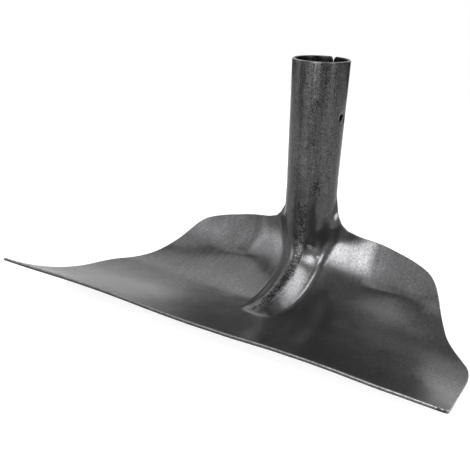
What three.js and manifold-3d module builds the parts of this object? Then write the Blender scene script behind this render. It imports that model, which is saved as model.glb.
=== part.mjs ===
// Head of a manure scraper: one pressed and rolled steel sheet, in millimetres, +Z up.
// The socket stands along Z with its mouth at the top, the blade is wide along X and its cutting edge
// faces -Y. The origin is at the bottom centre of the box around the head.

import * as THREE from 'three';
import { mergeVertices } from 'three/addons/utils/BufferGeometryUtils.js';
import Module from 'manifold-3d';

// Driving dimensions
const sheet = 2;
const bladeWidth = 320;
const socketLength = 87;
const mouthRadius = 20.6;
const neckRadius = 18.9;
const neckLength = 37.5;
const heelDepth = 57.4;
const heelDrop = 45.3;
const floorRun = 101.6;
const floorRise = 30.1;
const shoulderDish = 10;
const edgeWave = 1.3;

// Seam, notch and fixing hole of the socket
const seamGap = 0.8;
const notchGap = 4.4;
const notchDepth = 3;
const holeBelowMouth = 39.5;
const holeRadius = 3;
const dishRadius = 6;
const dishDepth = 0.9;

// Fit between the two solids
const clearance = 0.3;

// Places down the sheet: 0 at the socket's end, 1 where the heel starts, 2 at the lowest line, 3 at the
// cutting edge
const heelStartShare = 1;
const lowestShare = 2;
const edgeShare = 3;

// The ridge: crest height and half width as shares of the neck's radius, fillet as a share of it too
const crestShares = [
  [0, 1], [1, 0.98], [1.17, 0.94], [1.33, 0.83], [1.5, 0.73], [1.67, 0.69], [1.83, 0.63], [2, 0.48],
  [2.09, 0.26], [2.13, 0.15], [2.165, 0], [3, 0],
];
const ridgeWidthShares = [
  [0, 1], [1, 0.98], [1.17, 0.93], [1.33, 0.86], [1.5, 0.8], [1.83, 0.74], [2.165, 0.68], [3, 0.68],
];
const filletShares = [[0, 0.6], [1, 0.6], [1.33, 0.45], [1.67, 0.34], [2, 0.28], [2.165, 0.25], [3, 0.25]];

// Half widths of the flat sheet from the seam to the cutting corner, as shares of half the blade's width
const blankShares = [
  [0, 0.369], [0.05, 0.338], [0.11, 0.308], [0.266, 0.254], [0.423, 0.222], [0.633, 0.203], [0.826, 0.211],
  [0.918, 0.227], [0.985, 0.247], [1.03, 0.302], [1.057, 0.396], [1.086, 0.477], [1.123, 0.563],
  [1.178, 0.636], [1.25, 0.674], [1.35, 0.702], [1.5, 0.735], [1.62, 0.768], [1.73, 0.802],
  [1.83, 0.845], [1.92, 0.889], [2, 0.922], [2.07, 0.933], [2.2, 0.939], [2.45, 0.954], [2.7, 0.978],
  [2.92, 1], [2.975, 0.995], [3, 0.973],
];

// A hollow shoulder starts, is full, eases and ends at these shares of half the width
const hollowShares = [0.08, 0.34, 0.36, 0.78];
// Its floor ends below in a crease at this place, and rises from there over this run
const creaseShare = 1.42;
const creaseRunShare = 0.55;
const creaseSoftnessShare = 0.035;

// Down the neck the round crest gets tighter by this share, between these two places
const crestSharpnessShare = 0.62;
const sharpeningShares = [0.9, 1.5];

// The arch closes into the tube by this power of the way up, and is never flatter than this share
const closingPower = 2.5;
const flattestShare = 0.0005;

// The dent around the hole is full inside this share of its radius, and the fine rows reach this far past it
const dentFullShare = 0.3;
const fineRowsShare = 1.5;

// How fine the solids are
const rowsPerKnot = 2;
const ridgeColumns = 10;
const wingColumns = 7;
const ridgeLimitShare = 0.8;
const socketColumns = 44;
const notchRows = 3;
const upperRows = 3;
const lowerRows = 6;
const holeRows = 7;
const holeSides = 24;

const halfWidth = bladeWidth / 2;
const taper = (mouthRadius - neckRadius) / socketLength;
const socketEnd = -socketLength;
const heelTop = socketEnd - neckLength;
const floorAngle = 2 * Math.atan(floorRise / floorRun);
const floorRadius = floorRun / Math.sin(floorAngle);

// Smooth curve through pairs of place and value
function through(pairs, at) {
  let i = 0;
  while (i < pairs.length - 2 && at > pairs[i + 1][0]) {
    i += 1;
  }
  const before = pairs[Math.max(i - 1, 0)];
  const from = pairs[i];
  const to = pairs[i + 1];
  const after = pairs[Math.min(i + 2, pairs.length - 1)];
  const span = to[0] - from[0];
  const slopeFrom = (to[1] - before[1]) / (to[0] - before[0]);
  const slopeTo = (after[1] - from[1]) / (after[0] - from[0]);
  const t = THREE.MathUtils.clamp((at - from[0]) / span, 0, 1);
  const t2 = t * t;
  const t3 = t2 * t;
  return (2 * t3 - 3 * t2 + 1) * from[1] + (t3 - 2 * t2 + t) * span * slopeFrom
    + (3 * t2 - 2 * t3) * to[1] + (t3 - t2) * span * slopeTo;
}

// Side view of the sheet away from the ridge: a point and the direction that its front face looks in
function profile(place) {
  if (place <= heelStartShare) {
    return { y: 0, z: socketEnd - place * neckLength, ny: -1, nz: 0 };
  }
  if (place <= lowestShare) {
    const turn = (place - heelStartShare) * Math.PI / 2;
    const slope = Math.hypot(Math.cos(turn) * heelDrop, Math.sin(turn) * heelDepth);
    return {
      y: heelDepth * (Math.cos(turn) - 1),
      z: heelTop - heelDrop * Math.sin(turn),
      ny: -Math.cos(turn) * heelDrop / slope,
      nz: Math.sin(turn) * heelDepth / slope,
    };
  }
  const climb = (place - lowestShare) * floorAngle;
  return {
    y: -heelDepth - floorRadius * Math.sin(climb),
    z: heelTop - heelDrop + floorRadius * (1 - Math.cos(climb)),
    ny: Math.sin(climb),
    nz: Math.cos(climb),
  };
}

// How far the shoulders are dished to the back, and how far the floor waves up, at a half width x
function dish(x, place) {
  const [start, full, easing, end] = hollowShares;
  const share = x / halfWidth;
  const across = THREE.MathUtils.smoothstep(share, start, full)
    * (1 - THREE.MathUtils.smoothstep(share, easing, end));
  const past = place - creaseShare;
  const risen = (past + Math.hypot(past, creaseSoftnessShare)) / (2 * creaseRunShare);
  return shoulderDish * across * Math.max(1 - risen, 0) ** 2;
}

function wave(x, place) {
  const across = Math.sin(Math.PI * Math.min(x / halfWidth, 1)) ** 2;
  return edgeWave * across * THREE.MathUtils.smoothstep(place, lowestShare, edgeShare);
}

// Cross-section of the ridge at a place: a round crest, a flatter flank, a fillet and the flat of the sheet
function ridge(place) {
  const height = Math.max(through(crestShares, place), flattestShare) * neckRadius;
  const width = through(ridgeWidthShares, place) * neckRadius;
  const fillet = through(filletShares, place) * neckRadius;
  const sharpness = crestSharpnessShare * THREE.MathUtils.smoothstep(place, ...sharpeningShares);
  const crestRadius = (1 - sharpness) * (width * width + height * height) / (2 * height);
  const crestTurn = Math.atan2(height, width);
  const flankWidth = width - crestRadius * Math.sin(crestTurn);
  const flankHeight = height - crestRadius * (1 - Math.cos(crestTurn));
  const footTurn = 2 * Math.atan2(flankHeight, flankWidth) - crestTurn;
  const flankRadius = flankWidth / (Math.sin(footTurn) - Math.sin(crestTurn));
  const centreX = (crestRadius - flankRadius) * Math.sin(crestTurn);
  const centreH = height - crestRadius + (crestRadius - flankRadius) * Math.cos(crestTurn);
  const natural = Math.acos((fillet - centreH) / (flankRadius + fillet));
  const closing = Math.max(heelStartShare - place, 0) ** closingPower;
  const turn = natural + (Math.PI - natural) * closing;
  const crestLength = crestRadius * crestTurn;
  const archLength = crestLength + flankRadius * (turn - crestTurn);
  return {
    height, fillet, crestRadius, crestTurn, flankRadius, centreX, centreH, turn, crestLength, archLength,
    length: archLength + fillet * turn,
  };
}

// Point across the ridge at a distance along the sheet from the crest
function across(section, distance) {
  const { height, fillet, crestRadius, crestTurn, flankRadius, centreX, centreH, turn } = section;
  if (distance < section.crestLength) {
    const angle = distance / crestRadius;
    return { x: crestRadius * Math.sin(angle), h: height - crestRadius * (1 - Math.cos(angle)) };
  }
  if (distance < section.archLength) {
    const angle = crestTurn + (distance - section.crestLength) / flankRadius;
    return { x: centreX + flankRadius * Math.sin(angle), h: centreH + flankRadius * Math.cos(angle) };
  }
  const back = Math.min((distance - section.archLength) / fillet, turn);
  const angle = turn - back;
  const flat = Math.max(distance - section.length, 0);
  return {
    x: centreX + (flankRadius + fillet) * Math.sin(turn) - fillet * Math.sin(angle) + flat,
    h: centreH + (flankRadius + fillet) * Math.cos(turn) - fillet * Math.cos(angle),
  };
}

// Point on the front face of the sheet
function frontPoint(place, distance) {
  const side = profile(place);
  const { x, h } = across(ridge(place), Math.abs(distance));
  const lift = h - dish(x, place) + wave(x, place);
  return new THREE.Vector3(Math.sign(distance) * x, side.y + lift * side.ny, side.z + lift * side.nz);
}

// Closed sheet from a grid of points on its front face: front, back and the four edges.
// A level sheet has its thickness laid off sideways, so that its top and bottom edges are flat.
function sheetGeometry(grid, level) {
  const rows = grid.length;
  const columns = grid[0].length;
  const positions = [];
  const indices = [];
  const nearest = (index, count) => THREE.MathUtils.clamp(index, 0, count - 1);
  const at = (r, c) => grid[nearest(r, rows)][nearest(c, columns)];
  for (let r = 0; r < rows; r += 1) {
    for (let c = 0; c < columns; c += 1) {
      const down = at(r + 1, c).clone().sub(at(r - 1, c));
      const along = at(r, c + 1).clone().sub(at(r, c - 1));
      const inward = along.cross(down);
      if (level) {
        inward.z = 0;
      }
      inward.normalize().multiplyScalar(sheet);
      const front = at(r, c);
      positions.push(...front.toArray(), ...front.clone().add(inward).toArray());
    }
  }
  const front = (r, c) => 2 * (r * columns + c);
  const back = (r, c) => front(r, c) + 1;
  const corner = (i) => new THREE.Vector3().fromArray(positions, 3 * i);
  const quad = (a, b, c, d) => {
    if (corner(a).distanceTo(corner(c)) < corner(b).distanceTo(corner(d))) {
      indices.push(a, b, c, a, c, d);
    } else {
      indices.push(a, b, d, b, c, d);
    }
  };
  for (let r = 0; r < rows - 1; r += 1) {
    for (let c = 0; c < columns - 1; c += 1) {
      quad(front(r, c), front(r + 1, c), front(r + 1, c + 1), front(r, c + 1));
      quad(back(r, c), back(r, c + 1), back(r + 1, c + 1), back(r + 1, c));
    }
  }
  for (let r = 0; r < rows - 1; r += 1) {
    quad(front(r, 0), back(r, 0), back(r + 1, 0), front(r + 1, 0));
    const last = columns - 1;
    quad(front(r, last), front(r + 1, last), back(r + 1, last), back(r, last));
  }
  for (let c = 0; c < columns - 1; c += 1) {
    quad(front(0, c), front(0, c + 1), back(0, c + 1), back(0, c));
    const last = rows - 1;
    quad(front(last, c), back(last, c), back(last, c + 1), front(last, c + 1));
  }
  const geometry = new THREE.BufferGeometry();
  geometry.setAttribute('position', new THREE.Float32BufferAttribute(positions, 3));
  geometry.setIndex(indices);
  return geometry;
}

// Blade with its neck and ridge: a row follows each step along the outline of the flat sheet
function bladeGrid() {
  const knots = blankShares.map(([place, share]) => new THREE.Vector2(place, share));
  const outline = new THREE.SplineCurve(knots);
  const steps = rowsPerKnot * (blankShares.length - 1);
  const grid = [];
  for (let i = 0; i <= steps; i += 1) {
    const knot = outline.getPoint(i / steps);
    const place = THREE.MathUtils.clamp(knot.x, 0, edgeShare);
    const reach = knot.y * halfWidth - (i === 0 ? seamGap / 2 : 0);
    const middle = Math.min(ridge(place).length, ridgeLimitShare * reach);
    const half = [];
    for (let c = 1; c <= ridgeColumns; c += 1) {
      half.push(middle * c / ridgeColumns);
    }
    for (let c = 1; c <= wingColumns; c += 1) {
      half.push(middle + (reach - middle) * c / wingColumns);
    }
    const distances = [...half.map((d) => -d).reverse(), 0, ...half];
    grid.push(distances.map((distance) => frontPoint(place, distance)));
  }
  return grid;
}

// Socket: a tapered tube, open at the seam, with the dished rim of the hole pressed into its wall
function socketGrid() {
  const heights = [];
  const fineTop = holeBelowMouth - fineRowsShare * dishRadius;
  const fineBottom = holeBelowMouth + fineRowsShare * dishRadius;
  for (let r = 0; r <= notchRows; r += 1) {
    heights.push(notchDepth * r / notchRows);
  }
  for (let r = 1; r <= upperRows; r += 1) {
    heights.push(notchDepth + (fineTop - notchDepth) * r / upperRows);
  }
  for (let r = 1; r <= holeRows; r += 1) {
    heights.push(fineTop + (fineBottom - fineTop) * r / holeRows);
  }
  for (let r = 1; r <= lowerRows; r += 1) {
    heights.push(fineBottom + (socketLength - clearance - fineBottom) * r / lowerRows);
  }
  return heights.map((below) => {
    const radius = mouthRadius - taper * below;
    const opening = THREE.MathUtils.clamp(1 - below / notchDepth, 0, 1) ** 2;
    const half = Math.PI - (seamGap + (notchGap - seamGap) * opening) / 2 / radius;
    const row = [];
    for (let c = 0; c <= socketColumns; c += 1) {
      const angle = half * (2 * c / socketColumns - 1);
      const away = Math.hypot((angle - Math.PI / 2) * radius, below - holeBelowMouth) / dishRadius;
      const dent = dishDepth * (1 - THREE.MathUtils.smoothstep(away, dentFullShare, 1));
      const reach = radius - dent;
      row.push(new THREE.Vector3(reach * Math.sin(angle), -reach * Math.cos(angle), -below));
    }
    return row;
  });
}

// Booleans: three.js geometry to a solid and back
const wasm = await Module();
wasm.setup();

function toSolid(geometry) {
  geometry.deleteAttribute('normal');
  geometry.deleteAttribute('uv');
  const merged = mergeVertices(geometry);
  return new wasm.Manifold(new wasm.Mesh({
    numProp: 3,
    vertProperties: Float32Array.from(merged.attributes.position.array),
    triVerts: Uint32Array.from(merged.index.array),
  }));
}

function toGeometry(solid) {
  const mesh = solid.getMesh();
  const geometry = new THREE.BufferGeometry();
  geometry.setAttribute('position', new THREE.BufferAttribute(mesh.vertProperties, 3));
  geometry.setIndex(new THREE.BufferAttribute(mesh.triVerts, 1));
  return geometry;
}

const steel = { color: 0x3f4042, roughness: 0.42, metalness: 0.75 };

function named(name, geometry) {
  geometry.computeVertexNormals();
  const mesh = new THREE.Mesh(geometry, new THREE.MeshStandardMaterial(steel));
  mesh.name = name;
  return mesh;
}

// The hole goes through the right-hand wall only
const holeCutter = new THREE.CylinderGeometry(holeRadius, holeRadius, mouthRadius, holeSides);
holeCutter.rotateZ(Math.PI / 2);
holeCutter.translate(mouthRadius, 0, -holeBelowMouth);

const blade = named('blade', sheetGeometry(bladeGrid(), false));
const tube = toSolid(sheetGeometry(socketGrid(), true));
const socket = named('socket', toGeometry(tube.subtract(toSolid(holeCutter))));

// The origin moves to the bottom centre of the box around both solids
const head = new THREE.Group();
head.add(blade, socket);
const box = new THREE.Box3().setFromObject(head);
head.position.set(0, -(box.min.y + box.max.y) / 2, -box.min.z);

const group = new THREE.Group();
group.add(head);
export default group;
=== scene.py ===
# %% [markdown]
# # The head of a manure scraper
# The real head is one sheet of steel, two millimetres thick. A press gives it a wide hollow blade with a
# ridge down the middle, and the top of the sheet is then rolled into a tapered tube for the wooden handle.
# The packed solids give the exact place and size. Finer skins are built over them here, from the same
# measures, because a glossy sheet shows every facet of a coarse one.

# %% Load the packed head
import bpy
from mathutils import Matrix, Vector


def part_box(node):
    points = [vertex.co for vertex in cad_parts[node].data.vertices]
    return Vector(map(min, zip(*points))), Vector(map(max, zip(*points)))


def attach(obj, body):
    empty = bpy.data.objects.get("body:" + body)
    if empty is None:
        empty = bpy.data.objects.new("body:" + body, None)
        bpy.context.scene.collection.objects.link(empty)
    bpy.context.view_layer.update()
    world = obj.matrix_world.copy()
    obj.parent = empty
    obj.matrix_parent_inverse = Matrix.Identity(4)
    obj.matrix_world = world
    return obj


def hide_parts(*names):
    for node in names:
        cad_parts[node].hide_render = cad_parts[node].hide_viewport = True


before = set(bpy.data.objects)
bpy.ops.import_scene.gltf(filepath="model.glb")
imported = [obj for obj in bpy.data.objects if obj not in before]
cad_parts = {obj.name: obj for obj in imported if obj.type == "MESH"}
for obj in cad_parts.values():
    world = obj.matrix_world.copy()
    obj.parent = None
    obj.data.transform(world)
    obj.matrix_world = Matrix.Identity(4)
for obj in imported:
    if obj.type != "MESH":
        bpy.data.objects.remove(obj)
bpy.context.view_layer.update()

# %% [markdown]
# ## Tools for numbers and meshes
# Blender's own library makes the objects, and numpy works out many points at a time, which keeps a mesh
# of a hundred thousand points quick to make.

# %% Import the tools
import math
import bpy
import numpy as np
from mathutils import Matrix, Vector, noise

print("Blender", bpy.app.version_string, "numpy", np.__version__)

# %% [markdown]
# ## The camera
# The photograph looks down on the head from the front right. The place and the turn of the camera were
# worked out from the blade's symmetry and the tube's outline, so the three rows below are the directions
# that point right, down and forward in the picture. Blender's camera looks along its own -Z with +Y up.

# %% Set the camera
picture_side = 470
focal_pixels = 734.07
camera_place = Vector((0.23570, -0.40500, 0.23141))
picture_right = Vector((0.83585, 0.54770, 0.03712))
picture_down = Vector((0.21859, -0.27004, -0.93771))
picture_forward = Vector((-0.50356, 0.79190, -0.34543))

camera_data = bpy.data.cameras.new("camera")
camera_data.sensor_width = 36.0
camera_data.lens = focal_pixels / picture_side * camera_data.sensor_width
camera = bpy.data.objects.new("camera", camera_data)
bpy.context.scene.collection.objects.link(camera)
turn = Matrix((picture_right, -picture_down, -picture_forward)).transposed()
camera.matrix_world = Matrix.Translation(camera_place) @ turn.to_4x4()
bpy.context.scene.camera = camera
print("lens", round(camera_data.lens, 2), "mm")

# %% [markdown]
# ## Sizes of the sheet
# All sizes are in millimetres, as on a drawing. A place on the sheet is counted downwards: -1 is the
# mouth of the socket, 0 the end of the tube, 1 where the heel starts to turn, 2 the lowest line and 3 the
# cutting edge. The other coordinate is the distance from the middle, measured along the sheet, as on the
# flat blank before it was formed.

# %% Name the sizes
mm = 0.001
sheet = 2.0
blade_width = 320.0
socket_length = 87.0
mouth_radius = 20.6
neck_radius = 18.9
neck_length = 37.5
heel_depth = 57.4
heel_drop = 45.3
floor_run = 101.6
floor_rise = 30.1
shoulder_dish = 10.0
edge_wave = 1.3
rim_radius = 0.55

half_width = blade_width / 2
heel_run = math.pi / 2 * math.sqrt((heel_depth**2 + heel_drop**2) / 2)
taper = (mouth_radius - neck_radius) / socket_length
floor_angle = 2 * math.atan(floor_rise / floor_run)
floor_radius = floor_run / math.sin(floor_angle)
print("heel", round(heel_run, 1), "mm long, floor turns by", round(math.degrees(floor_angle), 1), "degrees")

# %% [markdown]
# ## Shapes that change along the sheet
# The ridge is highest at the neck and dies out on the blade. Each of its measures is a short list of
# places with a share of the neck's radius, and a smooth curve runs through them.

# %% Give the ridge its measures
crest_shares = ((0, 1), (1, 0.98), (1.17, 0.94), (1.33, 0.83), (1.5, 0.73), (1.67, 0.69), (1.83, 0.63),
                (2, 0.48), (2.09, 0.26), (2.13, 0.15), (2.165, 0), (3, 0))
width_shares = ((0, 1), (1, 0.98), (1.17, 0.94), (1.33, 0.88), (1.5, 0.85), (1.83, 0.81), (2.165, 0.7),
                (3, 0.7))
fillet_shares = ((0, 0.6), (1, 0.6), (1.33, 0.45), (1.67, 0.34), (2, 0.28), (2.165, 0.25), (3, 0.25))


def smooth_step(value, start, end):
    share = np.clip((value - start) / (end - start), 0, 1)
    return share * share * (3 - 2 * share)


def through(pairs, at):
    knots, values = np.array(pairs, float).T
    last = len(knots) - 1
    i = np.clip(np.searchsorted(knots, at, side="left") - 1, 0, last - 1)
    before = np.maximum(i - 1, 0)
    after = np.minimum(i + 2, last)
    slope_from = (values[i + 1] - values[before]) / (knots[i + 1] - knots[before])
    slope_to = (values[after] - values[i]) / (knots[after] - knots[i])
    span = knots[i + 1] - knots[i]
    t = np.clip((at - knots[i]) / span, 0, 1)
    from_part = (2 * t**3 - 3 * t**2 + 1) * values[i] + (t**3 - 2 * t**2 + t) * span * slope_from
    to_part = (3 * t**2 - 2 * t**3) * values[i + 1] + (t**3 - t**2) * span * slope_to
    return from_part + to_part


print("crest at the lowest line", round(float(through(crest_shares, np.array(2.0))) * neck_radius, 2), "mm")

# %% [markdown]
# ## Side view of the sheet
# Seen from the side, the sheet goes straight down, turns forward in a quarter of an ellipse, which is
# the heel, and rises again in a flat arc to the cutting edge. Each point has the direction in which the
# front of the sheet looks, because everything else is laid off along it.


# %% Follow the side view
def side_view(place):
    down = np.clip(place, 0, 1)
    heel = np.clip(place - 1, 0, 1) * math.pi / 2
    climb = np.clip(place - 2, 0, 1) * floor_angle
    y = heel_depth * (np.cos(heel) - 1) - floor_radius * np.sin(climb)
    z = -socket_length - down * neck_length - heel_drop * np.sin(heel) + floor_radius * (1 - np.cos(climb))
    slope = np.hypot(np.cos(heel) * heel_drop, np.sin(heel) * heel_depth)
    front_y = np.where(place <= 2, -np.cos(heel) * heel_drop / slope, np.sin(climb))
    front_z = np.where(place <= 2, np.sin(heel) * heel_depth / slope, np.cos(climb))
    return y, z, front_y, front_z


edge_y, edge_z = (round(float(v), 1) for v in side_view(np.array(3.0))[:2])
print("the middle of the mouth is", -edge_z, "mm above the cutting edge and", -edge_y, "mm behind it")

# %% [markdown]
# ## Section across the ridge
# Across the blade, the ridge is an arch of two arcs: a tight one over the crest and a flatter one down
# each flank. A fillet then leads out into the flat of the sheet. Towards the neck the two arcs become one,
# and the arch closes further and further, until it is the full circle of the tube.


# %% Bend the sheet across the ridge
crest_sharpness = 0.62
sharpening_places = (0.9, 1.5)
closing_power = 2.5
flattest_share = 0.0005


def ridge_section(place):
    height = np.maximum(through(crest_shares, place), flattest_share) * neck_radius
    width = through(width_shares, place) * neck_radius
    fillet = through(fillet_shares, place) * neck_radius
    crest_radius = (width**2 + height**2) / (2 * height)
    crest_radius = crest_radius * (1 - crest_sharpness * smooth_step(place, *sharpening_places))
    crest_angle = np.arctan2(height, width)
    flank_width = width - crest_radius * np.sin(crest_angle)
    flank_height = height - crest_radius * (1 - np.cos(crest_angle))
    foot_angle = 2 * np.arctan2(flank_height, flank_width) - crest_angle
    flank_radius = flank_width / (np.sin(foot_angle) - np.sin(crest_angle))
    centre_x = (crest_radius - flank_radius) * np.sin(crest_angle)
    centre_h = height - crest_radius + (crest_radius - flank_radius) * np.cos(crest_angle)
    natural = np.arccos((fillet - centre_h) / (flank_radius + fillet))
    bend = natural + (math.pi - natural) * np.clip(1 - place, 0, 1) ** closing_power
    crest_length = crest_radius * crest_angle
    arch_length = crest_length + flank_radius * (bend - crest_angle)
    return (height, fillet, crest_radius, crest_angle, crest_length, flank_radius, centre_x, centre_h, bend,
            arch_length)


def across_ridge(place, distance):
    section = ridge_section(place)
    height, fillet, crest_radius, crest_angle, crest_length, flank_radius = section[:6]
    centre_x, centre_h, bend, arch = section[6:]
    reach = np.abs(distance)
    crest_turn = reach / crest_radius
    flank_turn = crest_angle + (reach - crest_length) / flank_radius
    back = bend - np.clip((reach - arch) / fillet, 0, bend)
    flat = np.maximum(reach - arch - fillet * bend, 0)
    beyond_x = centre_x + (flank_radius + fillet) * np.sin(bend) - fillet * np.sin(back) + flat
    beyond_h = centre_h + (flank_radius + fillet) * np.cos(bend) - fillet * np.cos(back)
    x = np.where(reach < arch, centre_x + flank_radius * np.sin(flank_turn), beyond_x)
    h = np.where(reach < arch, centre_h + flank_radius * np.cos(flank_turn), beyond_h)
    x = np.where(reach < crest_length, crest_radius * np.sin(crest_turn), x)
    h = np.where(reach < crest_length, height - crest_radius * (1 - np.cos(crest_turn)), h)
    return np.sign(distance) * x, h


print("half way round the neck", round(float(ridge_section(np.array(0.0))[-1]), 1), "mm")

# %% [markdown]
# ## Hollow shoulders and a lightly waved edge
# On both sides of the ridge the shoulders are pressed back into shallow hollows. Each hollow starts at the
# foot of the ridge and ends below in a soft crease, which the photograph shows as a dark line. The floor
# also rises a little between the middle and the corners.


# %% Press the shoulders and the floor
hollow_shares = (0.08, 0.34, 0.36, 0.78)
crease_place = 1.42
crease_softness = 0.035
crease_run = 0.55


def press_marks(x, place):
    side = np.abs(x) / half_width
    start, full, easing, end = hollow_shares
    hollow = smooth_step(side, start, full) * (1 - smooth_step(side, easing, end))
    past = place - crease_place
    rising = (past + np.hypot(past, crease_softness)) / (2 * crease_run)
    hollow = hollow * (1 - np.clip(rising, 0, 1)) ** 2 * shoulder_dish
    wave = np.sin(math.pi * np.minimum(side, 1)) ** 2 * smooth_step(place, 2, 3) * edge_wave
    return wave - hollow


deepest_x = hollow_shares[1] * half_width
print("shoulder pressed back", round(-float(press_marks(np.array(deepest_x), np.array(1.0))), 1), "mm")

# %% [markdown]
# ## Rolled shoulder rims and a ridge a little to the right
# The top rims of the shoulders are rolled back by about a millimetre, so they mirror the lamps and not the
# blade. The roll fades out towards the neck and towards the wings. Halfway down the blade, the ridge also
# lies slightly to the right of the middle. Both are marks of this one pressing, and the plain solid goes
# without them.

# %% Roll the rims and shift the ridge
roll_depth = 1.0
roll_run = 11.0
roll_limit = 1.2
roll_start_shares = (0.24, 0.36)
roll_end_shares = (0.6, 0.7)
ridge_offset = 1.2
offset_start_places = (1.1, 1.5)
offset_end_places = (1.9, 2.15)
offset_reach = (14, 40)
shoulder_shares = (0.302, 0.396, 0.477, 0.563, 0.636, 0.674)
shoulder_places = (1.03, 1.057, 1.086, 1.123, 1.178, 1.25)


def rim_roll(place, distance):
    side = np.abs(distance) / half_width
    rim_place = np.interp(side, shoulder_shares, shoulder_places)
    from_rim = (place - rim_place) * heel_run
    near = np.clip(1 - from_rim / roll_run, 0, roll_limit) ** 2
    along_rim = smooth_step(side, *roll_start_shares) * (1 - smooth_step(side, *roll_end_shares))
    return roll_depth * near * along_rim


def ridge_shift(x, place):
    along = smooth_step(place, *offset_start_places) * (1 - smooth_step(place, *offset_end_places))
    return ridge_offset * along * (1 - smooth_step(np.abs(x), *offset_reach))


rolled = rim_roll(np.array(shoulder_places), np.array(shoulder_shares) * half_width)
print("rims rolled back by up to", round(float(rolled.max()), 2), "mm")

# %% [markdown]
# ## The tube with its dented hole
# The socket is a gently tapered tube. The fixing hole on the right was punched from outside, which has
# pressed its rim inwards. The hole's place is kept as a distance round the tube, as it would be marked out.

# %% Roll the tube
hole_below_mouth = 39.5
hole_radius = 3.0
dent_radius = 6.0
dent_depth = 0.9
dent_floor_share = 0.3


def tube_radius(below):
    return mouth_radius - taper * below


hole_distance = tube_radius(hole_below_mouth) * math.pi / 2


def on_tube(place, distance):
    below = (np.minimum(place, 0) + 1) * socket_length
    radius = tube_radius(below)
    angle = distance / radius
    away = np.hypot((angle - math.pi / 2) * radius, below - hole_below_mouth) / dent_radius
    reach = radius - dent_depth * (1 - smooth_step(away, dent_floor_share, 1))
    return np.stack([reach * np.sin(angle), -reach * np.cos(angle), -below], axis=-1)


print("hole lies", round(hole_distance, 2), "mm round from the middle")

# %% [markdown]
# ## Any point of the front
# On the blade, the side view gives the middle line, and the section across the ridge is laid off along the
# direction in which the front looks. The marks of the press are added in the same direction. One function
# then answers for the whole sheet: negative places lie on the tube and all others on the blade.


# %% Find a point of the front
def on_blade(place, distance):
    y, z, front_y, front_z = side_view(place)
    x, h = across_ridge(place, distance)
    lift = h + press_marks(x, place) - rim_roll(place, distance)
    x = x + ridge_shift(x, place)
    return np.stack([x, y + lift * front_y, z + lift * front_z], axis=-1)


def front_point(place, distance):
    place, distance = np.broadcast_arrays(np.asarray(place, float), np.asarray(distance, float))
    blade = on_blade(np.maximum(place, 0), distance)
    return np.where((place < 0)[..., None], on_tube(place, distance), blade)


print("the crest meets the blade at", front_point(crest_shares[-2][0], 0).round(1), "mm")

# %% [markdown]
# ## Which way is inwards
# The thickness is laid off square to the front face. A small step along the sheet and a small step across
# it give two directions in the face, and their cross product points into the steel. Down to the neck this
# direction is kept level, so that the two pieces meet in a flat face.

# %% Find the inward direction
level_places = (0, 0.3)
step_place = 0.004
step_distance = 0.2
shortest = 1e-12


def unit(vectors):
    return vectors / np.maximum(np.linalg.norm(vectors, axis=-1, keepdims=True), shortest)


def inward(place, distance):
    along = front_point(place, distance + step_distance) - front_point(place, distance - step_distance)
    down = front_point(place + step_place, distance) - front_point(place - step_place, distance)
    level = np.cross(along, down)
    level[..., 2] *= smooth_step(place, *level_places)
    return unit(level)


print("inwards on the lowest line", inward(np.array([2.0]), np.array([half_width / 2]))[0].round(2))

# %% [markdown]
# ## Outline of the flat blank
# The sheet was cut from a flat blank. Its half width changes from the seam of the tube through the
# narrow neck to the shoulders and the corner of the edge. A curve through listed points gives the
# outline, and it is moved in by the radius of the rounded rim, which is added later.

# %% Draw the blank
blank_shares = np.array((
    (0, 0.369), (0.05, 0.338), (0.11, 0.308), (0.266, 0.254), (0.423, 0.222), (0.633, 0.203),
    (0.826, 0.211), (0.918, 0.227), (0.985, 0.247), (1.03, 0.302), (1.057, 0.396), (1.086, 0.477),
    (1.123, 0.563), (1.178, 0.636), (1.25, 0.674), (1.35, 0.702), (1.5, 0.735), (1.62, 0.768),
    (1.73, 0.802), (1.83, 0.845), (1.92, 0.889), (2, 0.922), (2.07, 0.933), (2.2, 0.939), (2.45, 0.954),
    (2.7, 0.978), (2.92, 1), (2.975, 0.995), (3, 0.973)))
rows_per_knot = 6
profile_steps = 1201
seam_gap = 0.8


def blank_outline():
    count = len(blank_shares)
    at = np.arange(rows_per_knot * (count - 1) + 1) / rows_per_knot
    i = np.minimum(at.astype(int), count - 2)
    t = (at - i)[:, None]
    before, start, end, after = (blank_shares[np.clip(i + k, 0, count - 1)] for k in (-1, 0, 1, 2))
    slope_start = (end - before) / 2
    slope_end = (after - start) / 2
    curve = (2 * start - 2 * end + slope_start + slope_end) * t**3
    curve += (-3 * start + 3 * end - 2 * slope_start - slope_end) * t**2
    return curve + slope_start * t + start


def blade_rows():
    fine = np.linspace(0, 3, profile_steps)
    y, z, _, _ = side_view(fine)
    developed = np.concatenate([[0], np.cumsum(np.hypot(np.diff(y), np.diff(z)))])
    outline = blank_outline()
    place = np.clip(outline[:, 0], 0, 3)
    along = np.interp(place, fine, developed)
    reach = outline[:, 1] * half_width
    move = np.stack([np.gradient(reach), -np.gradient(along)], axis=-1)
    move = unit(move)
    move[0] = (0, -1)
    move[-1] = (-1, 0)
    place = np.interp(along + move[:, 0] * rim_radius, developed, fine)
    reach = np.minimum(reach + move[:, 1] * rim_radius, half_width - rim_radius)
    reach[0] -= seam_gap / 2
    return place, reach


places, reaches = blade_rows()
print("rows on the blade", len(places), "widest", round(2 * reaches.max(), 1), "mm")

# %% [markdown]
# ## Rows of the socket
# The two edges of the sheet meet in a butt seam at the back of the tube. At the mouth both corners are
# rounded off, which leaves the small notch that the photograph shows on the far rim.

# %% Lay out the socket's rows
notch_width = 4.4
notch_depth = 3.0
tube_steps = 84


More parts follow.
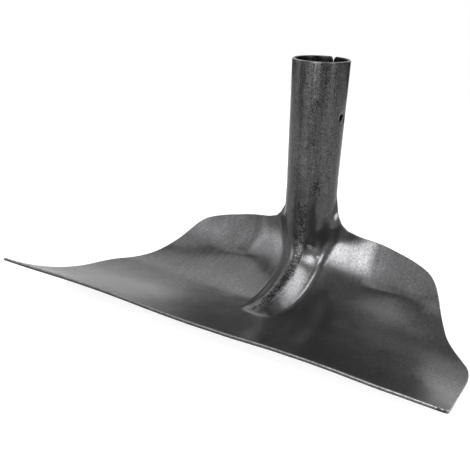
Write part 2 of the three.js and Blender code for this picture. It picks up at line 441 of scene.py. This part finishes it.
def socket_rows():
    below = rim_radius + (socket_length - rim_radius) * np.arange(tube_steps) / tube_steps
    opening = np.clip(1 - below / notch_depth, 0, 1) ** 2
    gap = seam_gap + (notch_width - seam_gap) * opening
    return below / socket_length - 1, math.pi * tube_radius(below) - gap / 2 - rim_radius


tube_places, tube_reaches = socket_rows()
print("rows on the socket", len(tube_places))

# %% [markdown]
# ## One grid over the whole sheet
# Tube and blade share one grid, so the surface runs through the neck without a break. The columns are
# close together over the ridge, where the sheet bends most, and wider on the wings.

# %% Spread the columns
ridge_columns = 46
wing_columns = 58
widest_middle_share = 0.8


def column_distances(place, reach):
    section = ridge_section(np.maximum(place, 0))
    fillet, bend, arch = section[1], section[-2], section[-1]
    middle = np.minimum(arch + fillet * bend, widest_middle_share * reach)
    inner = middle[:, None] * np.arange(1, ridge_columns + 1) / ridge_columns
    outer = middle[:, None] + (reach - middle)[:, None] * np.arange(1, wing_columns + 1) / wing_columns
    half = np.concatenate([inner, outer], axis=1)
    return np.concatenate([-half[:, ::-1], np.zeros((len(reach), 1)), half], axis=1)


grid_place = np.concatenate([tube_places, places])
grid_reach = np.concatenate([tube_reaches, reaches])
grid_distance = column_distances(grid_place, grid_reach)
grid_place = np.repeat(grid_place[:, None], grid_distance.shape[1], axis=1)
grid_front = front_point(grid_place, grid_distance)
grid_inward = inward(grid_place, grid_distance)
print("grid", grid_distance.shape)

# %% [markdown]
# ## Slight unevenness
# A pressed sheet is never quite even, and that makes the reflections wander. Blender's noise gives each
# point of the blade its own small swelling of up to half a millimetre towards the front, so nothing sinks
# below the solid. Three small dents sit on the flanks of the ridge, where the photograph shows them. For
# each of them the list gives the place, the distance from the middle, the radius and the depth.

# %% Swell the sheet
dents = ((1.2, 11.5, 5.0, 0.5), (1.566, -9.2, 2.4, 0.35), (1.3, 17.0, 3.5, 0.3))
broad_swell = 0.3
broad_span = 34
small_swell = 0.1
small_span = 13
small_offset = Vector((7, 3, 1))
swell_lift = 0.25
swell_places = (0.1, 0.8)


def dent_depths(place, distance):
    total = 0
    for dent_place, dent_distance, dent_size, deepest in dents:
        away = np.hypot((place - dent_place) * heel_run, distance - dent_distance) / dent_size
        total = total + deepest * (1 - smooth_step(away, 0, 1))
    return total


def unevenness(points, place):
    broad = np.array([noise.noise(Vector(p) / broad_span) for p in points.reshape(-1, 3)])
    small = np.array([noise.noise(Vector(p) / small_span + small_offset) for p in points.reshape(-1, 3)])
    swell = (broad_swell * broad + small_swell * small).reshape(points.shape[:-1])
    return (swell + swell_lift) * smooth_step(place, *swell_places)


swell = unevenness(grid_front, grid_place) - dent_depths(grid_place, grid_distance)
grid_front = grid_front - grid_inward * swell[..., None]
print("swell from", round(float(swell.min()), 2), "to", round(float(swell.max()), 2), "mm")

# %% [markdown]
# ## From grid to thick sheet
# A sheet needs a front, a back and a rounded rim between them. Each point of the border knows which way
# is outwards, and a quarter circle in small steps leads from the front round to the edge and on to the
# back. Rounded rims matter: they catch the light as thin bright lines, as in the photograph. The class
# below collects points and faces piece by piece, and notes for each point its row and its spot on the sheet.


# %% Collect points and faces
class Pressing:
    def __init__(self):
        self.points = []
        self.faces = []
        self.rows = []
        self.spots = []
        self.count = 0

    def add(self, points, rows, place, distance, depth):
        points = np.asarray(points, float)
        ids = self.count + np.arange(points[..., 0].size).reshape(points.shape[:-1])
        self.points.append(points.reshape(-1, 3))
        self.rows.append(np.broadcast_to(rows, ids.shape).reshape(-1))
        spots = np.stack([place, distance, np.full(ids.shape, depth)], axis=-1)
        self.spots.append(spots.reshape(-1, 3))
        self.count += ids.size
        return ids

    def strip(self, first, second):
        first, second = np.append(first, first[0]), np.append(second, second[0])
        self.faces.append(np.stack([first[:-1], first[1:], second[1:], second[:-1]], axis=-1))

    def grid(self, ids, keep):
        quads = np.stack([ids[:-1, :-1], ids[1:, :-1], ids[1:, 1:], ids[:-1, 1:]], axis=-1)
        self.faces.append(quads[keep])


def border(grid):
    return np.concatenate([grid[0, :-1], grid[:-1, -1], grid[-1, :0:-1], grid[:0:-1, 0]])


def rim_steps(radius, count=4):
    angles = np.arange(1, count + 1) / count * math.pi / 2
    out = radius * np.sin(angles)
    down = radius * (1 - np.cos(angles))
    return list(zip(out, down)) + list(zip(out[::-1], (sheet - down)[::-1]))


print("a rim is rounded in", len(rim_steps(rim_radius)), "rings")

# %% [markdown]
# ## A window for the fixing hole
# A round hole doesn't follow the squares of the grid. So the squares around it are left out first, which
# makes a square window a few squares wide.

# %% Choose the window for the hole
window_half = 6
hole_row = int(np.argmin(np.abs((grid_place[:, 0] + 1) * socket_length - hole_below_mouth)))
hole_column = int(np.argmin(np.abs(grid_distance[hole_row] - hole_distance)))
window = tuple(slice(i - window_half, i + window_half + 1) for i in (hole_row, hole_column))
squares = tuple(slice(i - window_half, i + window_half) for i in (hole_row, hole_column))
keep = np.ones((grid_place.shape[0] - 1, grid_place.shape[1] - 1), bool)
keep[squares] = False
print("window around row", hole_row, "and column", hole_column)

# %% [markdown]
# ## From the window to the circle
# Rings of points lead from the square window to the circle, on the front and on the back, and each ring is
# a little rounder than the one before. A small rounded rim then joins front and back inside the hole.

# %% Lead the window to the circle
hole_rings = 9
hole_rim = 0.4


def add_hole(pressing, front_ids, back_ids):
    around = border(grid_distance[window]) - hole_distance
    below = (border(grid_place[window]) + 1) * socket_length - hole_below_mouth
    angle = np.arctan2(below, around)
    rings = [(border(front_ids[window]), border(back_ids[window]))]
    for k in range(1, hole_rings + 1):
        share = k / hole_rings
        u = around * (1 - share) + (hole_radius + hole_rim) * np.cos(angle) * share + hole_distance
        v = below * (1 - share) + (hole_radius + hole_rim) * np.sin(angle) * share + hole_below_mouth
        place = v / socket_length - 1
        front = front_point(place, u)
        into = inward(place, u)
        rings.append((pressing.add(front, hole_row, place, u, 0),
                      pressing.add(front + into * sheet, hole_row, place, u, sheet)))
    for (front_out, back_out), (front_in, back_in) in zip(rings, rings[1:]):
        pressing.strip(front_in, front_out)
        pressing.strip(back_out, back_in)
    centre = front_point(hole_below_mouth / socket_length - 1, hole_distance)
    towards = centre - front
    towards = unit(towards - (towards * into).sum(-1, keepdims=True) * into)
    last = rings[-1][0]
    for out, deep in rim_steps(hole_rim):
        ring = pressing.add(front + towards * out + into * deep, hole_row, place, u, deep)
        pressing.strip(ring, last)
        last = ring
    pressing.strip(rings[-1][1], last)


print("hole", 2 * hole_radius, "mm wide, its rim rounded by", hole_rim, "mm")

# %% [markdown]
# ## Front and back
# The front is the grid itself. The back is the same grid moved into the steel by the thickness, with its
# faces turned round so that they look backwards.

# %% Build front and back
row_index = np.repeat(np.arange(grid_place.shape[0])[:, None], grid_place.shape[1], axis=1)
pressing = Pressing()
front_ids = pressing.add(grid_front, row_index, grid_place, grid_distance, 0)
back_ids = pressing.add(grid_front + grid_inward * sheet, row_index, grid_place, grid_distance, sheet)
pressing.grid(front_ids, keep)
back_quads = np.stack([back_ids[:-1, :-1], back_ids[:-1, 1:], back_ids[1:, 1:], back_ids[1:, :-1]], axis=-1)
pressing.faces.append(back_quads[keep])
print("points on front and back", pressing.count)

# %% [markdown]
# ## The rim
# Along the border, the way ahead and the way inwards give the way outwards, and the rings of the rounding
# are laid off along it. The hole comes last, and the lists are then joined into one mesh.

# %% Round the rim
edge_points = border(grid_front)
edge_inward = border(grid_inward)
edge_rows = border(row_index)
edge_spots = border(grid_place), border(grid_distance)
edge_ahead = np.roll(edge_points, -1, axis=0) - np.roll(edge_points, 1, axis=0)
edge_outward = unit(np.cross(edge_ahead, edge_inward))
rim_rings = [border(front_ids)]
for out, deep in rim_steps(rim_radius):
    ring = edge_points + edge_outward * out + edge_inward * deep
    rim_rings.append(pressing.add(ring, edge_rows, *edge_spots, deep))
rim_rings.append(border(back_ids))
for outer, inner in zip(rim_rings, rim_rings[1:]):
    pressing.strip(outer, inner)
add_hole(pressing, front_ids, back_ids)

points = np.concatenate(pressing.points)
rows = np.concatenate(pressing.rows)
spots = np.concatenate(pressing.spots)
quads = np.concatenate(pressing.faces)
print("points", len(points), "faces", len(quads))

# %% [markdown]
# ## Where each point lies on the sheet
# The finish follows the sheet and not the room: drawing streaks run down it, and the crest of the ridge,
# where the die rubbed hardest, is dark and rough. So every point keeps its place on the flat blank and its
# depth in the sheet, all in millimetres, and a number that says how far it belongs to that crest.

# %% Note the places for the finish
floor_length = floor_radius * floor_angle
lengths_down = np.cumsum([-socket_length, socket_length, neck_length, heel_run, floor_length])
crest_offset = 2.0
crest_half = 3.6
crest_fade_shares = (0.55, 1.35)
crest_start_places = (0.25, 0.8)
crest_end_places = (2.0, 2.15)
place, distance, depth = spots.T
down_sheet = np.interp(place, (-1, 0, 1, 2, 3), lengths_down)
sheet_spots = np.stack([distance, down_sheet, depth], axis=-1)
crest_band = 1 - smooth_step(np.abs(distance - crest_offset) / crest_half, *crest_fade_shares)
crest_band *= smooth_step(place, *crest_start_places) * (1 - smooth_step(place, *crest_end_places))
print("blank", round(lengths_down[-1] - lengths_down[0], 1), "mm from the mouth to the cutting edge")

# %% [markdown]
# ## A dark patch on the neck
# A little to the right of the middle, where the tube ends, a small patch is darker and rougher. It counts as
# part of the crest, only weaker.

# %% Add the dark patch
dark_patch_share = 0.6
dark_patch_spot = (12.6, 2.0)
dark_patch_size = (3.0, 8.0)
dark_patch_across = (distance - dark_patch_spot[0]) / dark_patch_size[0]
dark_patch_down = (down_sheet - dark_patch_spot[1]) / dark_patch_size[1]
dark_patch = np.exp(-np.hypot(dark_patch_across, dark_patch_down)**2)
crest_band = np.maximum(crest_band, dark_patch_share * dark_patch)
print("points in the dark band", int((crest_band > dark_patch_share / 2).sum()))

# %% [markdown]
# ## Shading across the joint
# The head is divided at the neck into the same two pieces as the solid. Both pieces take the shading
# directions of the undivided sheet along, so no line shows where they meet.


# %% Find the shading directions
def point_normals(points, quads):
    corner = points[quads]
    face = np.cross(corner[:, 2] - corner[:, 0], corner[:, 3] - corner[:, 1])
    total = np.zeros_like(points)
    for k in range(4):
        np.add.at(total, quads[:, k], face)
    return unit(total)


normals = point_normals(points, quads)
print("shading directions", len(normals))

# %% [markdown]
# ## Put the sheet where the solid stands
# The tube's mouth is the highest flat of the packed socket, and its front touches the lowest y of that
# node's box. From these two the whole sheet finds its place, in metres.

# %% Move into the frame
socket_low, socket_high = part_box("socket")
shift = np.array([0, socket_low.y / mm + mouth_radius, socket_high.z / mm])
split_row = len(tube_places)
print("shift", [round(float(v), 2) for v in shift], "split at row", split_row)

# %% [markdown]
# ## Divide the sheet at the neck
# Every face belongs to the tube or to the blade by the rows of its points. Along the dividing row both
# pieces get a flat end face, made of narrow strips from the front to the back, so that each is a closed
# body.


# %% Sort the faces
def piece_faces(of_socket):
    lowest = rows[quads].min(axis=1)
    highest = rows[quads].max(axis=1)
    chosen = highest <= split_row if of_socket else lowest >= split_row
    faces = [tuple(int(i) for i in face) for face in quads[chosen]]
    side_rings = [[ring[k] for ring in rim_rings] for k in np.flatnonzero(edge_rows == split_row)]
    right, left = side_rings
    front, back = front_ids[split_row], back_ids[split_row]
    end = [[front[c], front[c + 1], back[c + 1], back[c]] for c in range(1, len(front) - 2)]
    end.append([front[-2], *right, back[-2]])
    end.append([back[1], *reversed(left), front[1]])
    if not of_socket:
        end = [face[::-1] for face in end]
    return faces, [tuple(int(i) for i in face) for face in end]


print("faces of the tube", len(piece_faces(True)[0]), "and of the blade", len(piece_faces(False)[0]))

# %% [markdown]
# ## Make the two pieces
# Each piece takes only its own points, moved into place and turned into metres. The flat end face keeps its
# own flat shading. The notes for the finish go along as attributes of the mesh, and the last lines tie the
# piece to its body and hide the solid that it stands for.


# %% Make the pieces
def make_piece(name, node, of_socket):
    faces, end = piece_faces(of_socket)
    used = np.unique(np.concatenate([np.array(faces).ravel(), np.concatenate([np.array(f) for f in end])]))
    new_id = {int(old): k for k, old in enumerate(used)}
    mesh = bpy.data.meshes.new(name)
    mesh.from_pydata(((points[used] + shift) * mm).tolist(), [],
                     [[new_id[i] for i in face] for face in faces + end])
    mesh.update()
    mesh.shade_smooth()
    shading = []
    for polygon in mesh.polygons:
        polygon.use_smooth = polygon.index < len(faces)
        for vertex in polygon.vertices:
            shading.append(tuple(normals[used[vertex]]) if polygon.use_smooth else tuple(polygon.normal))
    mesh.normals_split_custom_set(shading)
    spot_layer = mesh.attributes.new("sheet_spot", "FLOAT_VECTOR", "POINT")
    spot_layer.data.foreach_set("vector", sheet_spots[used].ravel())
    crest_layer = mesh.attributes.new("crest_band", "FLOAT", "POINT")
    crest_layer.data.foreach_set("value", crest_band[used])
    piece = bpy.data.objects.new(name, mesh)
    bpy.context.scene.collection.objects.link(piece)
    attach(piece, "root")
    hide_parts(node)
    print(name, len(mesh.vertices), "points", len(mesh.polygons), "faces")
    return piece


socket_piece = make_piece("socket_tube", "socket", True)
blade_piece = make_piece("blade_sheet", "blade", False)

# %% [markdown]
# ## A short way to write shader maths
# A material is a net of nodes. The small class below wraps one output of a node, so that sums can be
# written as in Python, and each sum adds its Math node. One method adds every other kind of node.


# %% Wrap the sockets
class Wire:
    def __init__(self, tree, socket):
        self.tree = tree
        self.socket = socket

    def add(self, kind, settings=(), sockets=(), output=0):
        node = self.tree.nodes.new(kind)
        for name, value in dict(settings).items():
            if name == "stops":
                stops = node.color_ramp.elements
                while len(stops) < len(value):
                    stops.new(0.5)
                for stop, (position, level) in zip(stops, value):
                    stop.position = position
                    stop.color = (level, level, level, 1)
            else:
                setattr(node, name, value)
        for name, value in dict(sockets).items():
            if isinstance(value, Wire):
                self.tree.links.new(value.socket, node.inputs[name])
            else:
                node.inputs[name].default_value = value
        return Wire(self.tree, node.outputs[output] if len(node.outputs) else None)

    def maths(self, operation, first, second):
        return self.add("ShaderNodeMath", {"operation": operation}, {0: first, 1: second})

    def __add__(self, other):
        return self.maths("ADD", self, other)

    __radd__ = __add__

    def __sub__(self, other):
        return self.maths("SUBTRACT", self, other)

    def __rsub__(self, other):
        return self.maths("SUBTRACT", other, self)

    def __mul__(self, other):
        return self.maths("MULTIPLY", self, other)

    __rmul__ = __mul__


def empty_tree(owner):
    owner.use_nodes = True
    owner.node_tree.nodes.clear()
    return Wire(owner.node_tree, None)


print("a wire knows", [name for name in vars(Wire) if not name.startswith("__")])

# %% [markdown]
# ## Lacquered, scale-darkened steel
# The real sheet came black out of the press, with mottled forging scale, and was dipped in a thin clear
# lacquer. Close up it is dark grey with a fine grain, small pale specks and faint streaks down the sheet.
# Noise textures of four sizes stand for these, each with a scale and a detail. Three of them fill the space
# around the head. The streaks are laid on the flat blank and stretched along it, as the sheet was drawn.

# %% Mix the noises
noise_kinds = {"grain": (900.0, 2.0), "mottle": (260.0, 4.0), "cloud": (28.0, 3.0), "streak": (0.9, 4.0)}
noise_roughness = 0.62
noise_middle = 0.5
streak_stretch = (1.0, 0.035, 0.0)


def noises_of(start, on_sheet):
    spot = start.add("ShaderNodeTexCoord", output="Object")
    stretched = start.add("ShaderNodeVectorMath", {"operation": "MULTIPLY"},
                          {0: on_sheet, 1: streak_stretch})
    noises = {}
    for name, (scale, detail) in noise_kinds.items():
        noises[name] = start.add("ShaderNodeTexNoise", sockets={
            "Vector": stretched if name == "streak" else spot,
            "Scale": scale, "Detail": detail, "Roughness": noise_roughness})
    return noises


print("streaks are", round(streak_stretch[0] / streak_stretch[1]), "times as long as wide")

# %% [markdown]
# ## Where the finish changes
# The notes of the mesh say how far down the sheet a point lies and how deep in it. From these come masks
# between 0 and 1. The sheet is coarsest where it was drawn into the tube. The front corner of the rim is
# painted paler, a painted highlight, and the rest of the cut edge is painted darker, a painted shade under
# the rim, and made rougher. The inside of the tube is painted darker as shade, which fades out below the
# neck.

# %% Mask the sheet
drawn_down = (-10.0, 60.0)
drawn_shares = (0.72, 0.35)
floor_down = (100.0, 150.0)
floor_shares = (0.0, 0.55)
# The rim band is a painted highlight on the front corner of the rim.
rim_start_depths = (0.05, 0.4)
rim_end_depths = (0.55, 0.9)
# The cut band is a painted shade along the underside of the rim, which is also made rougher.
cut_start_depths = (0.6, 1.0)
cut_end_depths = (0.9 * sheet, sheet)
# The inner shade is painted shade on the back face, inside the tube, fading out below the neck.
painted_inner_shade_depths = (0.8 * sheet, sheet)
painted_inner_shade_down = (0.0, 30.0)
painted_inner_shade_shares = (0.75, 0.0)
rising_shares = (0.0, 1.0)
falling_shares = (1.0, 0.0)


def between(start, value, limits, shares):
    return start.add("ShaderNodeMapRange", {"clamp": True}, {
        "Value": value, "From Min": limits[0], "From Max": limits[1],
        "To Min": shares[0], "To Max": shares[1]})


def masks_of(start, down, depth):
    drawn = between(start, down, drawn_down, drawn_shares)
    floor = between(start, down, floor_down, floor_shares)
    rim = between(start, depth, rim_start_depths, rising_shares)
    rim = rim * between(start, depth, rim_end_depths, falling_shares)
    cut = between(start, depth, cut_start_depths, rising_shares)
    cut = cut * between(start, depth, cut_end_depths, falling_shares)
    painted_inner_shade = between(start, depth, painted_inner_shade_depths, rising_shares) * between(start, down, painted_inner_shade_down, painted_inner_shade_shares)
    return {"drawn": drawn, "floor": floor, "rim": rim, "cut": cut, "painted_inner_shade": painted_inner_shade}


print("the coarse grain fades between", drawn_down, "mm below the end of the tube")

# %% [markdown]
# ## How bright the steel is
# Each noise moves the brightness up and down, as strongly as its mask allows. The crest of the ridge is
# darker and far coarser than the rest. The specks are small spots where grain and mottle are both high.

# %% Work out the brightness
steel_level = 0.078
darkest_level = 0.006
grain_share = 3.6
mottle_share = 1.7
streak_share = 2.0
cloud_share = 0.5
crest_coarse_share = 2.0
crest_dark_share = 0.45
# Painted shade: how much darker the underside of the rim is made.
painted_underside_shade_share = 0.6
speck_mix_shares = (0.6, 0.4)
speck_limits = (0.64, 0.7)
speck_level = 0.05
# Painted highlight: how much paler the front corner of the rim is made.
painted_rim_highlight_level = 0.2


def level_of(start, noises, masks, crest):
    swing = {name: wire - noise_middle for name, wire in noises.items()}
    coarse = masks["drawn"] + crest_coarse_share * crest
    uneven = swing["grain"] * (grain_share * (coarse + masks["floor"]))
    uneven = uneven + swing["mottle"] * (mottle_share * coarse)
    uneven = uneven + swing["streak"] * (streak_share * masks["drawn"]) + swing["cloud"] * cloud_share
    level = steel_level + steel_level * uneven
    level = level.maths("MAXIMUM", level, darkest_level)
    speck_noise = noises["grain"] * speck_mix_shares[0] + noises["mottle"] * speck_mix_shares[1]
    speck = between(start, speck_noise, speck_limits, rising_shares)
    level = level * (1 - crest_dark_share * crest) + speck_level * speck
    # Painted highlight: the front corner of the rim is made paler.
    level = level + (painted_rim_highlight_level * masks["rim"]) * noises["mottle"]
    # Painted shade: darker inside the tube and behind the neck, and along the underside of the rim.
    return level * (1 - masks["painted_inner_shade"]) * (1 - painted_underside_shade_share * masks["cut"])


print("steel reflects about", steel_level, "and nowhere less than", darkest_level, "before the masks")

# %% [markdown]
# ## The steel itself
# A metal with a low, uneven reflection and a middling roughness gives the semi-gloss look of the lacquer,
# and a shallow bump breaks the edges of the highlights up into grain. The bump is kept weak on the flat of
# the blade and strong on the crest, like the brightness.

# %% Make the steel
blue_share = 1.03
metal_share = 0.85
lacquer_level = 0.6
height_mix_shares = (0.45, 0.5)
height_shares = (0.2, 0.9, 1.8)
bump_strength = 0.16
bump_distance = 0.0005
smoothest = 0.16
rough_mottle_share = 0.08
rough_streak_share = 0.07
rough_crest_share = 0.2
rough_cut_share = 0.2


def bump_of(start, noises, masks, crest):
    flat, on_drawn, on_crest = height_shares
    height = noises["grain"] * height_mix_shares[0] + noises["mottle"] * height_mix_shares[1]
    height = height * (flat + on_drawn * masks["drawn"] + on_crest * crest)
    return start.add("ShaderNodeBump", sockets={
        "Height": height, "Strength": bump_strength, "Distance": bump_distance})


def lacquered_steel(name):
    material = bpy.data.materials.new(name)
    start = empty_tree(material)
    on_sheet = start.add("ShaderNodeAttribute", {"attribute_name": "sheet_spot"}, output="Vector")
    crest = start.add("ShaderNodeAttribute", {"attribute_name": "crest_band"}, output="Fac")
    down = start.add("ShaderNodeSeparateXYZ", sockets={0: on_sheet}, output="Y")
    depth = start.add("ShaderNodeSeparateXYZ", sockets={0: on_sheet}, output="Z")
    noises = noises_of(start, on_sheet)
    masks = masks_of(start, down, depth)
    level = level_of(start, noises, masks, crest)
    colour = start.add("ShaderNodeCombineColor", sockets={
        "Red": level, "Green": level, "Blue": level * blue_share})
    roughness = smoothest + rough_mottle_share * noises["mottle"] + rough_streak_share * noises["streak"]
    roughness = roughness + rough_crest_share * crest + rough_cut_share * masks["cut"]
    shader = start.add("ShaderNodeBsdfPrincipled", sockets={
        "Base Color": colour, "Metallic": metal_share, "Specular IOR Level": lacquer_level,
        "Roughness": roughness, "Normal": bump_of(start, noises, masks, crest)})
    start.add("ShaderNodeOutputMaterial", sockets={"Surface": shader})
    return material


steel = lacquered_steel("lacquered_steel")
for piece in (socket_piece, blade_piece):
    piece.data.materials.append(steel)
print("nodes in the steel", len(steel.node_tree.nodes))

# %% [markdown]
# ## Paper to stand on
# The head stands on a sheet of paper. The paper is grey and glows by itself for the camera, so that the
# lamps and the glow add up to white, and the head's shadow still shows. Glossy steel sees a dimmer glow,
# which keeps its reflections of the paper grey, as in the photograph. In front, the paper ends early, so
# that what looks down past its edge mirrors the dark room.

# %% Lay the paper
paper_half = 0.9
paper_front = -0.32
paper_grey = (0.4, 0.4, 0.4, 1)
camera_glow = 0.78
mirrored_glow = 0.32
floor_mesh = bpy.data.meshes.new("studio_floor")
floor_mesh.from_pydata([(-paper_half, paper_front, 0), (paper_half, paper_front, 0),
                        (paper_half, paper_half, 0), (-paper_half, paper_half, 0)], [], [(0, 1, 2, 3)])
floor = bpy.data.objects.new("studio_floor", floor_mesh)
bpy.context.scene.collection.objects.link(floor)


def floor_paper():
    material = bpy.data.materials.new("floor_paper")
    start = empty_tree(material)
    to_camera = start.add("ShaderNodeLightPath", output="Is Camera Ray")
    to_mirror = start.add("ShaderNodeLightPath", output="Is Glossy Ray")
    paper = start.add("ShaderNodeBsdfDiffuse", sockets={"Color": paper_grey})
    glow = start.add("ShaderNodeEmission", sockets={
        "Strength": to_camera * camera_glow + to_mirror * mirrored_glow})
    both = start.add("ShaderNodeAddShader", sockets={0: paper, 1: glow})
    start.add("ShaderNodeOutputMaterial", sockets={"Surface": both})
    return material


floor_mesh.materials.append(floor_paper())
print("paper", 2 * paper_half, "m wide, its front edge at y", paper_front)

# %% [markdown]
# ## The room
# The camera sees plain white behind the head. The steel sees a grey room instead: dark below the horizon,
# grey above it, darker higher up and brighter again overhead. Behind the head stands a bright backdrop that
# only mirrored rays see. Both are ramps over the height of the direction, from 0 straight down to 1 straight
# up, and the backdrop grows weaker towards the side of the camera.

# %% Make the room
room_stops = ((0, 0.06), (0.48, 0.06), (0.52, 0.4), (0.7, 0.3), (0.85, 0.24), (0.95, 0.5), (1, 0.4))
backdrop_stops = ((0, 0), (0.48, 0), (0.52, 0.85), (0.62, 0.75), (0.72, 0.55), (0.8, 0.25), (0.88, 0))
backdrop_direction = (-0.5, 0.8, 0)
backdrop_limits = (-0.3, 0.4)
backdrop_shares = (0.3, 1.0)

world = bpy.data.worlds.new("studio")
bpy.context.scene.world = world
start = empty_tree(world)
camera_ray = start.add("ShaderNodeLightPath", output="Is Camera Ray")
mirrored_ray = start.add("ShaderNodeLightPath", output="Is Glossy Ray")
direction = start.add("ShaderNodeTexCoord", output="Generated")
height = start.add("ShaderNodeSeparateXYZ", sockets={0: direction}, output="Z")
upwards = 0.5 * height + 0.5
room = start.add("ShaderNodeValToRGB", {"stops": room_stops}, {"Fac": upwards})
backdrop = start.add("ShaderNodeValToRGB", {"stops": backdrop_stops}, {"Fac": upwards})
behind = start.add("ShaderNodeVectorMath", {"operation": "DOT_PRODUCT"},
                   {0: direction, 1: backdrop_direction}, "Value")
backdrop = backdrop * between(start, behind, backdrop_limits, backdrop_shares)
strength = room + (1 - room) * camera_ray + backdrop * mirrored_ray
surround = start.add("ShaderNodeBackground", sockets={"Color": (1, 1, 1, 1), "Strength": strength})
start.add("ShaderNodeOutputWorld", sockets={"Surface": surround})
print("nodes in the room", len(world.node_tree.nodes))

# %% [markdown]
# ## Soft boxes
# A soft box is a bright rectangle that hangs in a given direction and faces the head. An azimuth of 180 is
# the front, 90 the right and -90 the left. The brightness is counted as for the room, where 1 is white, and
# the watts follow from it and from the size. Most boxes hang far away. The near ones show up at different
# places in the left and in the right shoulder, so they can light one of them and spare the other.

# %% Make a soft box
usual_distance = 1.5
key_distance = 0.9
fill_distance = 0.7
watts_per_area = 4
lamp_target = Vector((0, 0, 0.06))


def soft_box(name, azimuth, elevation, width, height, radiance, distance=usual_distance):
    a, e = math.radians(azimuth), math.radians(elevation)
    direction = Vector((math.sin(a) * math.cos(e), math.cos(a) * math.cos(e), math.sin(e)))
    light = bpy.data.lights.new(name, "AREA")
    light.shape = "RECTANGLE"
    light.size = width
    light.size_y = height
    light.energy = watts_per_area * radiance * width * height
    lamp = bpy.data.objects.new(name, light)
    lamp.visible_camera = False
    lamp.location = lamp_target + direction * distance
    lamp.rotation_mode = "QUATERNION"
    lamp.rotation_quaternion = direction.to_track_quat("Z", "Y")
    bpy.context.scene.collection.objects.link(lamp)


print("boxes hang", fill_distance, "to", usual_distance, "m away")

# %% [markdown]
# ## Boxes in front
# The large highlight on the right shoulder comes from boxes that lie over each other, each a little wider
# than the one before, so that it fades out softly to the right. The low ones light the front of the tube.

# %% Hang the front boxes
soft_box("key_box", 168, 27, 0.56, 0.8, 2.4, key_distance)
soft_box("key_wide_box", 171, 27, 0.68, 0.8, 1.3, key_distance)
soft_box("key_widest_box", 173, 27, 0.8, 0.8, 0.6, key_distance)
soft_box("key_core_box", 166, 22, 0.38, 0.6, 4, key_distance)
soft_box("front_low_box", 174, -3, 0.3, 0.2, 1.2)
soft_box("front_left_box", -158, -8, 0.8, 0.25, 1.1)
print("boxes so far", len(bpy.data.lights))

# %% [markdown]
# ## Boxes on the left
# The fill boxes light the left shoulder. The side boxes light the left flank of the ridge and the left edge
# of the tube, and the high one adds a little from above.

# %% Hang the left boxes
soft_box("fill_box", -152, 34, 0.62, 1.3, 1)
soft_box("fill_left_box", -131, 28, 0.2, 0.6, 0.6, fill_distance)
soft_box("left_high_box", -130, 66, 1.3, 0.5, 0.9)
soft_box("side_box", -104, 22, 0.75, 1.5, 1.1)
soft_box("side_core_box", -113, 20, 0.34, 0.9, 1.4)
print("boxes so far", len(bpy.data.lights))

# %% [markdown]
# ## Boxes on the right and behind
# The boxes on the right light the right flank of the ridge and the right side of the tube. The low one
# lights the small web where the neck meets the right shoulder. The box behind is mirrored in the floor of
# the blade and in the crease of the left shoulder, which would look nearly black without it.

# %% Hang the right boxes
soft_box("right_box", 72, 41, 1.25, 0.42, 3)
soft_box("right_core_box", 72, 40, 0.8, 0.26, 4)
soft_box("right_low_box", 103, 12, 0.4, 0.45, 10)
soft_box("back_box", -46, 41, 0.8, 0.8, 1.05)
print("boxes", len(bpy.data.lights))

# %% [markdown] ## Colours and the end The colours are shown as they are, without the look of a
# film.

# %% Finish
scene = bpy.context.scene
scene.view_settings.view_transform = "Standard"
